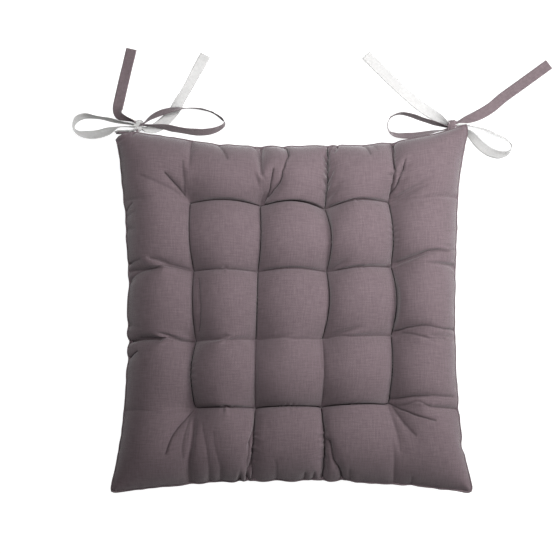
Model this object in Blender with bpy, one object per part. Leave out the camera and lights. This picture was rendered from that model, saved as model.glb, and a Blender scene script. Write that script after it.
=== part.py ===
"""A square tufted seat pad with ribbon ties in two colours, lying on a flat surface.

Metres, +Z up. The origin is on the resting surface under the middle of the pad. +Y points to the rear
edge, whose two corners carry the ties, and +X to the right of someone who faces that edge.
"""

import math

import bpy
import numpy as np
from mathutils import Matrix, Vector

# Plan of the pad
TIP = 0.1985  # from the centre to the seam at a corner, along X and along Y
MID_SIDE = 0.181  # from the centre to the seam halfway along the rear or an end side
MID_FRONT = 0.187  # the same for the front, which is less drawn in
FLARE_POWER = 3  # how suddenly the sides flare out to the corners
FRONT_POWER = 2

# Heights above the resting surface
SEAM_MID = 0.019  # seam halfway along a side
SEAM_TIP = 0.013  # seam at a corner
CREST = 0.055  # top of a puff
TUFT_TOP = 0.027  # top cover at a tuft
TUFT_BOTTOM = 0.013  # bottom cover at a tuft
BELLY = 0.0165  # how far an unloaded lower puff hangs under its tufts; the surface flattens it

CLOTH = 0.001  # thickness of a cover
GAP = 0.0003  # between neighbours that touch
LOFT_GAP = 0.0008  # upright gap between a cover and the filling
EDGE_ROUND = 0.5  # width of the rounded edge, in cells
PUFF_POWER = 0.7  # under 1 makes the puffs full and the tufts sharp
DROP_POWER = 4  # how suddenly the seam drops to the corners

# Cells: CELLS puffs each way, with a tuft at every inner corner of the cells
CELLS = 5
HOLE = 0.03  # half the width of the hole that a tuft's thread runs through, in cells
CELL_STOPS = (0.22, 0.5, 0.78)  # where the surface is sampled between two tufts
FILL_EDGE = 0.06  # where the filling stops short of the seam, in cells

# Tufts are sewn by hand, so each is a few millimetres off an even grid. Front row first, left to right.
TUFTS = (
    ((-0.104, -0.107), (-0.039, -0.109), (0.033, -0.108), (0.106, -0.103)),
    ((-0.104, -0.036), (-0.039, -0.033), (0.034, -0.032), (0.110, -0.029)),
    ((-0.107, 0.042), (-0.037, 0.041), (0.039, 0.041), (0.110, 0.047)),
    ((-0.111, 0.117), (-0.034, 0.114), (0.037, 0.111), (0.107, 0.118)),
)

# Threads
POST_RADIUS = 0.0008  # a tuft's thread through the pad
TACK_RADIUS = 0.0034  # the bunched stitches that bear on a cover
TACK_CROWN = 0.0024  # the bunch's radius at its outer face
TACK_HEIGHT = 0.0012
TACK_CLEARANCE = 0.0019  # how far a tack sits above the lowest point of its dimple
TACK_SIDES = 8
SEAM_THREAD = 0.0005  # radius of the sewn line round the edge
SEAM_INSET = 0.0009  # from the sewn line to the edge of the covers
SEAM_STEPS = 14  # samples along each side

# Ribbon ties
TIE_WIDTH = 0.012
TIE_PINCHED = 0.007  # width where a ribbon enters a knot
PINCH_RUN = 0.014  # length over which it spreads to its full width
TIE_THICK = 0.0008
TIE_STEP = 0.006  # spacing of the samples along a ribbon
SPLINE_STEPS = 20  # finer samples between two points of a route, before they are evened out
KNOT_SIZE = (0.0092, 0.0136, 0.0088)

# Routes: x, y, z of the ribbon's middle line, and its tilt in degrees, 0 flat and 90 on its edge.
LEFT_KNOT = (-0.1715, 0.2088, 0.005)
LEFT_ROUTES = {
    "light_root": ((-0.1962, 0.2011, 0.0125, 90), (-0.1905, 0.2023, 0.0085, 90),
                   (-0.183, 0.2024, 0.0068, 90), (-0.1775, 0.2034, 0.0065, 90)),
    "dark_root": ((-0.195, 0.1995, 0.0125, 90), (-0.188, 0.1999, 0.0085, 90),
                  (-0.18, 0.1996, 0.0068, 90), (-0.1732, 0.2006, 0.0065, 90)),
    "light_loop": ((-0.1772, 0.2108, 0.0065, 85), (-0.19, 0.2125, 0.0068, 84),
                   (-0.205, 0.216, 0.0066, 78), (-0.219, 0.2185, 0.0068, 82),
                   (-0.232, 0.22, 0.0066, 70), (-0.2415, 0.216, 0.0068, 70),
                   (-0.245, 0.2075, 0.007, 85), (-0.24, 0.2008, 0.0068, 60),
                   (-0.231, 0.1985, 0.0058, 38), (-0.219, 0.1988, 0.0052, 30),
                   (-0.206, 0.2022, 0.0058, 32), (-0.192, 0.2072, 0.0067, 76),
                   (-0.1772, 0.2077, 0.0065, 85)),
    "light_tail": ((-0.1659, 0.205, 0.0036, 50), (-0.159, 0.2048, 0.0018, 12),
                   (-0.15, 0.2085, 0.001, 0), (-0.141, 0.216, 0.001, 0), (-0.132, 0.226, 0.001, 0),
                   (-0.125, 0.2385, 0.0036, -34), (-0.118, 0.25, 0.0044, -44),
                   (-0.107, 0.271, 0.003, -24), (-0.0966, 0.2905, 0.001, 0)),
    "dark_loop": ((-0.1655, 0.2112, 0.0078, 80), (-0.156, 0.218, 0.0085, 52),
                  (-0.144, 0.2235, 0.0088, 48), (-0.13, 0.227, 0.0086, 58),
                  (-0.115, 0.2285, 0.0072, 80), (-0.1, 0.2272, 0.0068, 88),
                  (-0.086, 0.2225, 0.0068, 90), (-0.076, 0.215, 0.0068, 90),
                  (-0.0755, 0.2095, 0.0068, 80), (-0.085, 0.204, 0.0064, 66),
                  (-0.098, 0.2015, 0.0064, 60), (-0.113, 0.2022, 0.0066, 60),
                  (-0.13, 0.2048, 0.0076, 64), (-0.145, 0.2075, 0.0092, 72),
                  (-0.1655, 0.209, 0.0092, 88)),
    "dark_tail": ((-0.1772, 0.214, 0.0068, 80), (-0.186, 0.2172, 0.007, 60),
                  (-0.193, 0.2205, 0.0062, 40), (-0.1952, 0.2285, 0.003, 12),
                  (-0.1935, 0.24, 0.001, 0), (-0.188, 0.265, 0.001, 0),
                  (-0.1805, 0.2975, 0.001, 0)),
}
RIGHT_KNOT = (0.182, 0.2088, 0.005)
RIGHT_ROUTES = {
    "light_root": ((0.1965, 0.2012, 0.0098, 90), (0.1925, 0.2022, 0.0072, 90),
                   (0.186, 0.203, 0.005, 90)),
    "dark_root": ((0.1945, 0.1992, 0.01, 90), (0.189, 0.2002, 0.0072, 90),
                  (0.1827, 0.2006, 0.005, 90)),
    "dark_loop": ((0.1762, 0.208, 0.006, 85), (0.164, 0.2112, 0.0068, 80),
                  (0.149, 0.216, 0.0066, 78), (0.135, 0.221, 0.0066, 80),
                  (0.1235, 0.2228, 0.0068, 86), (0.1135, 0.219, 0.0068, 90),
                  (0.109, 0.2105, 0.0068, 88), (0.1115, 0.2015, 0.0068, 72),
                  (0.12, 0.1975, 0.0066, 54), (0.133, 0.1972, 0.0062, 50),
                  (0.148, 0.1992, 0.0062, 54), (0.163, 0.2022, 0.0064, 68),
                  (0.1762, 0.2048, 0.0058, 85)),
    "light_tail": ((0.1764, 0.2122, 0.0056, 60), (0.167, 0.218, 0.004, 22),
                   (0.1545, 0.2262, 0.0012, 4), (0.14, 0.2375, 0.001, 0), (0.124, 0.252, 0.001, 0),
                   (0.104, 0.2715, 0.001, 0), (0.085, 0.2905, 0.001, 0)),
    "dark_tail": ((0.1875, 0.2122, 0.0056, 65), (0.1985, 0.2155, 0.004, 35),
                  (0.213, 0.222, 0.0014, 8), (0.227, 0.2305, 0.001, 0), (0.24, 0.2415, 0.001, 0),
                  (0.26, 0.256, 0.001, 0), (0.293, 0.28, 0.001, 0)),
    "light_loop": ((0.1878, 0.209, 0.0062, 88), (0.203, 0.2082, 0.0068, 78),
                   (0.219, 0.2035, 0.0068, 68), (0.233, 0.1975, 0.0068, 66),
                   (0.244, 0.192, 0.0068, 74), (0.2485, 0.185, 0.0068, 88),
                   (0.244, 0.178, 0.0066, 74), (0.234, 0.1762, 0.0058, 50),
                   (0.223, 0.18, 0.0052, 38), (0.213, 0.188, 0.005, 38), (0.205, 0.197, 0.005, 48),
                   (0.1975, 0.2035, 0.0056, 75), (0.1878, 0.2058, 0.0058, 88)),
}

# Colours, linear
TAUPE = (0.216, 0.168, 0.184)
OFF_WHITE = (0.745, 0.735, 0.715)
THREAD = (0.170, 0.130, 0.143)
WADDING = (0.860, 0.855, 0.840)


def clear_scene():
    for thing in list(bpy.data.objects):
        bpy.data.objects.remove(thing)


def fabric(name, colour, roughness):
    material = bpy.data.materials.new(name)
    material.use_nodes = True
    shader = material.node_tree.nodes["Principled BSDF"]
    shader.inputs["Base Color"].default_value = (*colour, 1.0)
    shader.inputs["Roughness"].default_value = roughness
    shader.inputs["Metallic"].default_value = 0.0
    return material


def add_object(name, vertices, faces, material, smooth=True):
    mesh = bpy.data.meshes.new(name)
    mesh.from_pydata([tuple(v) for v in vertices], [], faces)
    if smooth:
        mesh.shade_smooth()
    mesh.materials.append(material)
    thing = bpy.data.objects.new(name, mesh)
    bpy.context.scene.collection.objects.link(thing)
    return thing


# ---------------------------------------------------------------- shape of the pad


def even(cell):
    """A cell coordinate from 0 to CELLS as -1 to 1 across the pad."""
    return 2 * cell / CELLS - 1


def outline_plan(u, v):
    """Plan position on the pad with its tufts on an even grid."""
    s, t = even(u), even(v)
    flare = np.abs(s * t) ** FLARE_POWER
    x = s * MID_SIDE + (TIP - MID_SIDE) * np.sign(s) * flare
    if t < 0:
        front_flare = np.abs(s) ** FRONT_POWER * np.abs(t) ** FLARE_POWER
        return x, t * MID_FRONT - (TIP - MID_FRONT) * front_flare
    return x, t * MID_SIDE + (TIP - MID_SIDE) * flare


def tuft_drift():
    """How far each tuft is off the even grid, with a border of zeros for the seam."""
    drift = np.zeros((CELLS + 1, CELLS + 1, 2))
    for row, line in enumerate(TUFTS, start=1):
        for column, place in enumerate(line, start=1):
            drift[column, row] = np.array(place) - outline_plan(float(column), float(row))
    return drift


DRIFT = tuft_drift()


def plan(u, v):
    """Plan position of a point given in cells, drawn over with the tufts."""
    i, j = min(int(u), CELLS - 1), min(int(v), CELLS - 1)
    a, b = u - i, v - j
    near = DRIFT[i, j] * (1 - a) * (1 - b) + DRIFT[i + 1, j] * a * (1 - b)
    far = DRIFT[i, j + 1] * (1 - a) * b + DRIFT[i + 1, j + 1] * a * b
    x, y = outline_plan(u, v)
    return x + near[0] + far[0], y + near[1] + far[1]


def swell(u):
    """0 on a line of tufts and 1 midway, and 1 from the middle of an outer cell to the seam."""
    inner = min(max(u, 0.5), CELLS - 0.5)
    return math.sin(math.pi * inner) ** 2


def edge_rise(u):
    """0 at the seam, rising as a quarter round to 1 across the rounded edge."""
    across = min(u, CELLS - u, EDGE_ROUND) / EDGE_ROUND
    return math.sqrt(1 - (1 - across) ** 2)


def puff(u, v):
    return ((swell(u) + swell(v)) / 2) ** PUFF_POWER


def seam_height(u, v):
    return SEAM_MID + (SEAM_TIP - SEAM_MID) * abs(even(u) * even(v)) ** DROP_POWER


def top_height(u, v):
    """The outer face of the top cover."""
    base = seam_height(u, v) + GAP / 2 + CLOTH
    crest = TUFT_TOP + (CREST - TUFT_TOP) * puff(u, v)
    return base + (crest - base) * edge_rise(u) * edge_rise(v)


def bottom_height(u, v):
    """The outer face of the bottom cover, flat where the pad lies on its surface."""
    base = seam_height(u, v) - GAP / 2 - CLOTH
    belly = TUFT_BOTTOM - BELLY * puff(u, v)
    return max(0.0, base + (belly - base) * edge_rise(u) * edge_rise(v))


def grid_stops(edge):
    """Cell coordinates of the grid lines, with a pair at each row of holes."""
    stops = [edge, CELLS - edge] if edge else [0.0, FILL_EDGE, CELLS - FILL_EDGE, float(CELLS)]
    for cell in range(CELLS):
        stops += [cell + stop for stop in CELL_STOPS]
        if cell:
            stops += [cell - HOLE, cell + HOLE]
    return sorted(stops)


def is_hole(stops, i):
    return abs((stops[i] + stops[i + 1]) / 2 - round((stops[i] + stops[i + 1]) / 2)) < HOLE / 2


def slab(name, stops, upper, lower, material):
    """A closed body between two height functions over the grid, with a square hole at each tuft."""
    count = len(stops)
    inset = 1 - SEAM_INSET / MID_SIDE
    vertices = []
    for height in (upper, lower):
        for u in stops:
            for v in stops:
                x, y = plan(u, v)
                vertices.append((x * inset, y * inset, height(u, v)))

    def index(i, j, layer):
        return layer * count * count + i * count + j

    solid = np.ones((count + 1, count + 1), bool)
    solid[0, :] = solid[-1, :] = solid[:, 0] = solid[:, -1] = False
    for i in range(count - 1):
        for j in range(count - 1):
            inner = 0 < i < count - 2 and 0 < j < count - 2
            if inner and is_hole(stops, i) and is_hole(stops, j):
                solid[i + 1, j + 1] = False

    faces = []
    for i in range(count - 1):
        for j in range(count - 1):
            if not solid[i + 1, j + 1]:
                continue
            ring = [(i, j), (i + 1, j), (i + 1, j + 1), (i, j + 1)]
            for a, b, c in ((0, 1, 2), (0, 2, 3)):
                faces.append([index(*ring[k], 0) for k in (a, b, c)])
                faces.append([index(*ring[k], 1) for k in (c, b, a)])
            for side, (di, dj) in enumerate(((0, -1), (1, 0), (0, 1), (-1, 0))):
                if not solid[i + 1 + di, j + 1 + dj]:
                    a, b = ring[side], ring[(side + 1) % 4]
                    faces.append([index(*b, 0), index(*a, 0), index(*a, 1), index(*b, 1)])
    used = sorted({k for face in faces for k in face})
    place = {old: new for new, old in enumerate(used)}
    faces = [[place[k] for k in face] for face in faces]
    return add_object(name, [vertices[k] for k in used], faces, material)


def make_covers_and_filling(taupe, off_white, wadding):
    stops = grid_stops(0.0)
    slab("top_cover", stops, top_height, lambda u, v: top_height(u, v) - CLOTH, taupe)
    slab("bottom_cover", stops, lambda u, v: bottom_height(u, v) + CLOTH, bottom_height, off_white)
    under_top = CLOTH + LOFT_GAP
    slab("filling", grid_stops(FILL_EDGE), lambda u, v: top_height(u, v) - under_top,
         lambda u, v: bottom_height(u, v) + under_top, wadding)


# ---------------------------------------------------------------- threads


def make_tuft(name, place, material):
    """One tuft's thread: a post through the pad with a bunch of stitches bearing on each cover."""
    low = TUFT_BOTTOM - TACK_CLEARANCE
    high = TUFT_TOP + TACK_CLEARANCE
    profile = [(0, low - TACK_HEIGHT), (TACK_CROWN, low - TACK_HEIGHT), (TACK_RADIUS, low - TACK_HEIGHT / 2),
               (POST_RADIUS, low), (POST_RADIUS, high), (TACK_RADIUS, high + TACK_HEIGHT / 2),
               (TACK_CROWN, high + TACK_HEIGHT), (0, high + TACK_HEIGHT)]
    vertices, rings = [], []
    for radius, z in profile:
        steps = TACK_SIDES if radius else 1
        rings.append(range(len(vertices), len(vertices) + steps))
        for k in range(steps):
            turn = 2 * math.pi * k / TACK_SIDES
            vertices.append((radius * math.cos(turn), radius * math.sin(turn), z))
    faces = []
    for below, above in zip(rings, rings[1:]):
        for k in range(TACK_SIDES):
            m = (k + 1) % TACK_SIDES
            if len(below) == 1:
                faces.append((below[0], above[m], above[k]))
            elif len(above) == 1:
                faces.append((below[k], below[m], above[0]))
            else:
                faces.append((below[k], below[m], above[m], above[k]))
    thing = add_object(name, vertices, faces, material)
    thing.location = (place[0], place[1], 0)
    return thing


def make_tufts(material):
    """Rows are named from the rear, r1, to the front, and columns from the left, c1."""
    for row, line in enumerate(reversed(TUFTS), start=1):
        for column, place in enumerate(line, start=1):
            make_tuft(f"tuft_stitch_r{row}c{column}", place, material)


def make_seam(material):
    """The sewn line that joins the covers, as a closed thread round the pad's outline."""
    along = [CELLS * k / SEAM_STEPS for k in range(SEAM_STEPS)]
    round_the_edge = ([(k, 0.0) for k in along] + [(CELLS, k) for k in along]
                      + [(CELLS - k, CELLS) for k in along] + [(0.0, CELLS - k) for k in along])
    curve = bpy.data.curves.new("seam_stitching", "CURVE")
    curve.dimensions = "3D"
    curve.bevel_depth = SEAM_THREAD
    curve.bevel_resolution = 1
    spline = curve.splines.new("POLY")
    spline.points.add(len(round_the_edge) - 1)
    spline.use_cyclic_u = True
    for point, (u, v) in zip(spline.points, round_the_edge):
        x, y = outline_plan(u, v)
        point.co = (x, y, seam_height(u, v), 1)
    curve.materials.append(material)
    thing = bpy.data.objects.new("seam_stitching", curve)
    bpy.context.scene.collection.objects.link(thing)
    return thing


# ---------------------------------------------------------------- ribbon ties


def smooth_route(route):
    """Samples on a smooth curve through a route's points, each with its tilt, TIE_STEP apart."""
    points = np.array(route, float)
    ends = np.vstack([2 * points[0] - points[1], points, 2 * points[-1] - points[-2]])
    fine = []
    for a, b, c, d in zip(ends, ends[1:], ends[2:], ends[3:]):
        for t in np.linspace(0, 1, SPLINE_STEPS, endpoint=False):
            fine.append(0.5 * (2 * b + (c - a) * t + (2 * a - 5 * b + 4 * c - d) * t ** 2
                               + (3 * b - a - 3 * c + d) * t ** 3))
    fine = np.array(fine + [points[-1]])
    along = np.concatenate([[0], np.cumsum(np.linalg.norm(np.diff(fine[:, :3], axis=0), axis=1))])
    steps = np.linspace(0, along[-1], max(3, math.ceil(along[-1] / TIE_STEP) + 1))
    samples = np.stack([np.interp(steps, along, fine[:, k]) for k in range(4)], axis=1)
    return samples, steps


def ribbon_width(distance, length, pinch_far_end):
    """Narrow where the ribbon is caught in a knot, and full a little way on."""
    reach = min(distance, length - distance) if pinch_far_end else distance
    return TIE_PINCHED + (TIE_WIDTH - TIE_PINCHED) * min(reach / PINCH_RUN, 1)


def make_ribbon(name, route, kind, material):
    """A flat strip swept along its route, with a rectangular section turned by the tilt."""
    samples, steps = smooth_route(route)
    ahead = np.gradient(samples[:, :3], axis=0)
    vertices = []
    for sample, direction, distance in zip(samples, ahead, steps):
        tangent = Vector(direction).normalized()
        level = tangent.cross(Vector((0, 0, 1))).normalized()
        upright = level.cross(tangent)
        tilt = math.radians(sample[3])
        across = level * math.cos(tilt) + upright * math.sin(tilt)
        face = across.cross(tangent)
        half = ribbon_width(distance, steps[-1], kind == "loop") / 2
        if kind == "root":
            half = TIE_PINCHED / 2
        for side, cloth in ((-1, -1), (1, -1), (1, 1), (-1, 1)):
            vertices.append(Vector(sample[:3]) + across * side * half + face * cloth * TIE_THICK / 2)
    faces = [(0, 1, 2, 3), tuple(len(vertices) - 4 + k for k in (3, 2, 1, 0))]
    for k in range(len(samples) - 1):
        for side in range(4):
            a, b = 4 * k + side, 4 * k + (side + 1) % 4
            faces.append((b, a, a + 4, b + 4))
    return add_object(name, vertices, faces, material, smooth=False)


def make_knot(name, place, material):
    """The lump where the two ribbons of a corner are wound round each other."""
    bpy.ops.mesh.primitive_ico_sphere_add(subdivisions=2, radius=0.5)
    thing = bpy.context.object
    thing.name = thing.data.name = name
    thing.data.transform(Matrix.Diagonal((*KNOT_SIZE, 1)))
    thing.location = place
    thing.data.materials.append(material)
    return thing


def make_ties(side, knot, routes, wrap, shades):
    """The two ribbons at a corner, in three lengths each, and the knot, which the wrap shade winds round."""
    make_knot(f"tie_{side}_knot", knot, shades[wrap])
    for label, route in routes.items():
        shade, kind = label.split("_")
        make_ribbon(f"tie_{side}_{label}", route, kind, shades[shade])


def main():
    clear_scene()
    taupe = fabric("taupe_cotton", TAUPE, 0.9)
    off_white = fabric("off_white_cotton", OFF_WHITE, 0.9)
    thread = fabric("taupe_thread", THREAD, 0.7)
    wadding = fabric("fibre_wadding", WADDING, 0.95)
    make_covers_and_filling(taupe, off_white, wadding)
    make_tufts(thread)
    make_seam(thread)
    shades = {"dark": taupe, "light": off_white}
    make_ties("left", LEFT_KNOT, LEFT_ROUTES, "light", shades)
    make_ties("right", RIGHT_KNOT, RIGHT_ROUTES, "dark", shades)


main()
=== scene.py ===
"""Looks for the tufted chair seat pad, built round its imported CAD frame.

The covers are sewn and stuffed by a small cloth simulation, the ribbon ties are swept along the CAD
routes, and every cloth has a woven procedural material. Metres, in the frame's own axes.
"""

import math

import bpy
import numpy as np
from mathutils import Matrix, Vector


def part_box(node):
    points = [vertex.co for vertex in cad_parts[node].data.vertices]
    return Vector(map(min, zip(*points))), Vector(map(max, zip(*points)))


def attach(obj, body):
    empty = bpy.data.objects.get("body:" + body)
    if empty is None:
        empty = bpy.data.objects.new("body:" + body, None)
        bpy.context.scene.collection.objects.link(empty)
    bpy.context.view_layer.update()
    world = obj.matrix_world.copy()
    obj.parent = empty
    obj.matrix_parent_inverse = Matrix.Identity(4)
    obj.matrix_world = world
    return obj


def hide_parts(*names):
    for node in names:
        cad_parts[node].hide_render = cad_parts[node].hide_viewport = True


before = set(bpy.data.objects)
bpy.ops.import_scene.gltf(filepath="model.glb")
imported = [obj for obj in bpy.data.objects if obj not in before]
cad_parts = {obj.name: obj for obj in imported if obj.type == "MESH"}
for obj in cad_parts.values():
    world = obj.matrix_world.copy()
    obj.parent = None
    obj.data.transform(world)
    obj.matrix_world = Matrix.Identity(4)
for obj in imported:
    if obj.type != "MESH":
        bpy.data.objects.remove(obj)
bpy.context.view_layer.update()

# ---------------------------------------------------------------- camera, floor and light

CAMERA_AIM = (-0.0155, 0.0366, 0.020)
CAMERA_TILT = math.radians(4.5)
CAMERA_DISTANCE = 1.8
CAMERA_SPAN = 0.615  # width of the view at the aim point
SENSOR = 36.0

AMBIENT = 0.22  # the studio's even light; the backdrop itself is white
FLOOR_GLOW = 0.96  # a lit table, so that shadows on it stay faint
FLOOR_BOUNCE = 0.3  # what it lights the pad with from below
FLOOR_SIZE = 40.0
FLOOR_LEVEL = -0.0002


def make_camera():
    data = bpy.data.cameras.new("camera")
    data.sensor_width = SENSOR
    data.lens = SENSOR * CAMERA_DISTANCE / CAMERA_SPAN
    camera = bpy.data.objects.new("camera", data)
    bpy.context.scene.collection.objects.link(camera)
    back = Vector((0, -math.sin(CAMERA_TILT), math.cos(CAMERA_TILT)))
    camera.location = Vector(CAMERA_AIM) + back * CAMERA_DISTANCE
    camera.rotation_mode = "QUATERNION"
    camera.rotation_quaternion = (-back).to_track_quat("-Z", "Y")
    bpy.context.scene.camera = camera


def make_lamp(name, place, aim, size, power, spread=180):
    data = bpy.data.lights.new(name, "AREA")
    data.shape = "DISK"
    data.size = size
    data.energy = power
    data.spread = math.radians(spread)
    lamp = bpy.data.objects.new(name, data)
    bpy.context.scene.collection.objects.link(lamp)
    lamp.location = place
    lamp.rotation_mode = "QUATERNION"
    lamp.rotation_quaternion = (Vector(aim) - Vector(place)).to_track_quat("-Z", "Y")


def seen_by(tree, socket, as_light, to_camera):
    """Sets the studio's backdrop to one strength as a light, and another as the camera sees it."""
    path = tree.nodes.new("ShaderNodeLightPath")
    strength = tree.nodes.new("ShaderNodeMapRange")
    strength.inputs["To Min"].default_value = as_light
    strength.inputs["To Max"].default_value = to_camera
    tree.links.new(path.outputs["Is Camera Ray"], strength.inputs["Value"])
    tree.links.new(strength.outputs["Result"], socket)


def make_studio():
    world = bpy.data.worlds.new("studio")
    bpy.context.scene.world = world
    world.use_nodes = True
    background = world.node_tree.nodes["Background"]
    background.inputs["Color"].default_value = (1.0, 1.0, 1.0, 1.0)
    seen_by(world.node_tree, background.inputs["Strength"], AMBIENT, 1.0)
    make_lamp("key", (0.85, 0.12, 0.58), (0.02, 0.02, 0.02), size=0.4, power=8.3)
    make_lamp("rear", (0.12, 0.34, 0.9), (0.08, 0.2, 0.02), size=0.4, power=1.5, spread=66)
    bpy.context.scene.view_settings.view_transform = "Standard"

    bpy.ops.mesh.primitive_plane_add(size=FLOOR_SIZE, location=(0, 0, FLOOR_LEVEL))
    floor = bpy.context.object
    floor.name = "floor"
    material = bpy.data.materials.new("floor")
    material.use_nodes = True
    shader = material.node_tree.nodes["Principled BSDF"]
    shader.inputs["Base Color"].default_value = (0.25, 0.25, 0.25, 1.0)
    shader.inputs["Roughness"].default_value = 0.9
    shader.inputs["Emission Color"].default_value = (1.0, 1.0, 1.0, 1.0)
    seen_by(material.node_tree, shader.inputs["Emission Strength"], FLOOR_BOUNCE, FLOOR_GLOW)
    floor.data.materials.append(material)


# ---------------------------------------------------------------- materials


class Graph:
    """A material's node tree, with short ways to add and join nodes."""

    def __init__(self, name):
        self.material = bpy.data.materials.new(name)
        self.material.use_nodes = True
        self.tree = self.material.node_tree
        self.shader = self.tree.nodes["Principled BSDF"]

    def node(self, kind, values=(), **settings):
        made = self.tree.nodes.new(kind)
        for key, value in settings.items():
            setattr(made, key, value)
        for socket, value in dict(values).items():
            if isinstance(value, bpy.types.NodeSocket):
                self.tree.links.new(value, made.inputs[socket])
            else:
                made.inputs[socket].default_value = value
        return made

    def math(self, operation, *values, clamp=False):
        made = self.node("ShaderNodeMath", enumerate(values), operation=operation, use_clamp=clamp)
        return made.outputs[0]

    def mix(self, factor, first, second):
        """A blend from the first to the second colour or socket."""
        values = {"Factor": factor, "A": first, "B": second}
        for key, value in values.items():
            if isinstance(value, tuple):
                values[key] = (*value, 1)
        return self.node("ShaderNodeMix", values, data_type="RGBA").outputs["Result"]

    def relief(self, height, strength, distance):
        bump = self.node("ShaderNodeBump", {"Height": height, "Strength": strength, "Distance": distance})
        self.link(bump.outputs["Normal"], "Normal")

    def link(self, output, socket):
        self.tree.links.new(output, self.shader.inputs[socket])


def darker(colour, share):
    return tuple(part * share for part in colour)


TUCKED_SHADE = 0.10  # painted shade deep in a crease: the colour there, as a share of the darkest yarn
WEAVE_BUMP = 0.0001
MOTTLE_SIZE = 0.02


def woven(name, dark, light, pitch, roughness, sheen, slub, mottling):
    """Plain-weave cloth. Coordinates are the cloth's own, in metres, from its UV map."""
    g = Graph(name)
    cloth = g.node("ShaderNodeUVMap", uv_map="cloth").outputs["UV"]
    axes = g.node("ShaderNodeSeparateXYZ", {0: cloth})
    u, v = axes.outputs["X"], axes.outputs["Y"]
    turn = 2 * math.pi / pitch
    warp = g.math("SINE", g.math("MULTIPLY", u, turn))
    weft = g.math("SINE", g.math("MULTIPLY", v, turn))
    over = g.math("MULTIPLY", warp, weft)

    def streaks(along, across, seed):
        """Slubs: noise drawn out along the threads of one direction."""
        stretched = g.node("ShaderNodeCombineXYZ", {
            0: g.math("MULTIPLY", along, 1 / slub),
            1: g.math("MULTIPLY", across, 1 / (pitch * 1.6)),
            2: seed})
        noise = g.node("ShaderNodeTexNoise", {"Vector": stretched.outputs[0], "Scale": 1.0, "Detail": 2.0})
        return noise.outputs["Fac"]

    slubs = g.math("ADD", streaks(u, v, 0.0), streaks(v, u, 7.0))
    blotches = g.node("ShaderNodeTexNoise", {"Vector": cloth, "Scale": 1 / MOTTLE_SIZE, "Detail": 4.0})
    mottle = blotches.outputs["Fac"]
    shade = g.math("MULTIPLY_ADD", over, 0.22, g.math("MULTIPLY_ADD", slubs, 0.75, -0.25))
    shade = g.math("ADD", shade, g.math("MULTIPLY_ADD", mottle, mottling, -mottling / 2), clamp=True)
    # painted shade in the creases: this mask darkens the cloth's colour there
    crease_shade = g.node("ShaderNodeAttribute", attribute_name="crease_shade").outputs["Fac"]
    g.link(g.mix(crease_shade, g.mix(shade, dark, light), darker(dark, TUCKED_SHADE)), "Base Color")
    g.link(g.math("MULTIPLY_ADD", slubs, -0.12, roughness + 0.1, clamp=True), "Roughness")
    height = g.math("MULTIPLY_ADD", over, 0.5, g.math("MULTIPLY", slubs, 1.2))
    g.relief(height, 1.0, WEAVE_BUMP)
    # no sheen where the creases' shade is painted
    g.link(g.math("MULTIPLY_ADD", crease_shade, -sheen, sheen), "Sheen Weight")
    g.shader.inputs["Sheen Roughness"].default_value = 0.45
    g.shader.inputs["Specular IOR Level"].default_value = 0.25
    return g.material


def twisted_thread(name, dark, light):
    """Thread with its plies running slantwise round it."""
    g = Graph(name)
    place = g.node("ShaderNodeTexCoord").outputs["Object"]
    twist = {"Vector": place, "Scale": 260.0, "Distortion": 1.5, "Detail": 1.0}
    wave = g.node("ShaderNodeTexWave", twist, bands_direction="DIAGONAL").outputs["Fac"]
    g.link(g.mix(wave, dark, light), "Base Color")
    g.link(g.math("MULTIPLY_ADD", wave, -0.2, 0.75), "Roughness")
    g.relief(wave, 0.6, 0.0001)
    return g.material


def fibre(name, colour):
    """Loose polyester fibre in small tufts."""
    g = Graph(name)
    place = g.node("ShaderNodeTexCoord").outputs["Object"]
    crimp = {"Vector": place, "Scale": 240.0, "Detail": 6.0, "Distortion": 1.5}
    tufts = g.node("ShaderNodeTexNoise", crimp).outputs["Fac"]
    g.link(g.mix(tufts, darker(colour, 0.82), colour), "Base Color")
    g.relief(tufts, 0.8, 0.001)
    g.shader.inputs["Roughness"].default_value = 0.95
    return g.material


# ---------------------------------------------------------------- meshes

UP = (0, 0, 1.0)


def add_mesh(name, vertices, faces, material, flat=None):
    """A smooth mesh. flat gives each vertex's place on the unrolled cloth, kept as its UV map."""
    mesh = bpy.data.meshes.new(name)
    mesh.from_pydata([tuple(map(float, v)) for v in vertices], [], faces)
    mesh.shade_smooth()
    mesh.materials.append(material)
    if flat is not None:
        layer = mesh.uv_layers.new(name="cloth")
        corner = np.zeros(len(mesh.loops), np.int32)
        mesh.loops.foreach_get("vertex_index", corner)
        layer.data.foreach_set("uv", np.asarray(flat, np.float32)[corner].ravel())
    thing = bpy.data.objects.new(name, mesh)
    bpy.context.scene.collection.objects.link(thing)
    return thing


def place_piece(piece, slot, *nodes):
    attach(piece, "root")
    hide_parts(*nodes)
    return piece


def between(before, here, there, after, t):
    """The place at t on a smooth curve from here, at 0, to there, at 1."""
    return 0.5 * (2 * here + (there - before) * t + (2 * before - 5 * here + 4 * there - after) * t ** 2
                  + (3 * here - before - 3 * there + after) * t ** 3)


def unit(vectors):
    """The same directions, each one long."""
    return vectors / np.linalg.norm(vectors, axis=-1, keepdims=True)


def run_along(points):
    """The distance along a line of points to each of them."""
    return np.concatenate([[0], np.cumsum(np.linalg.norm(np.diff(points, axis=0), axis=1))])


def band_faces(count, ring):
    """The faces of a closed band of so many rings of points, with its two ends capped."""
    faces = [list(range(ring)), [(count - 1) * ring + m for m in reversed(range(ring))]]
    for k in range(count - 1):
        for m in range(ring):
            a, b = k * ring + m, k * ring + (m + 1) % ring
            faces.append([b, a, a + ring, b + ring])
    return faces


# ---------------------------------------------------------------- ribbon ties

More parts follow.
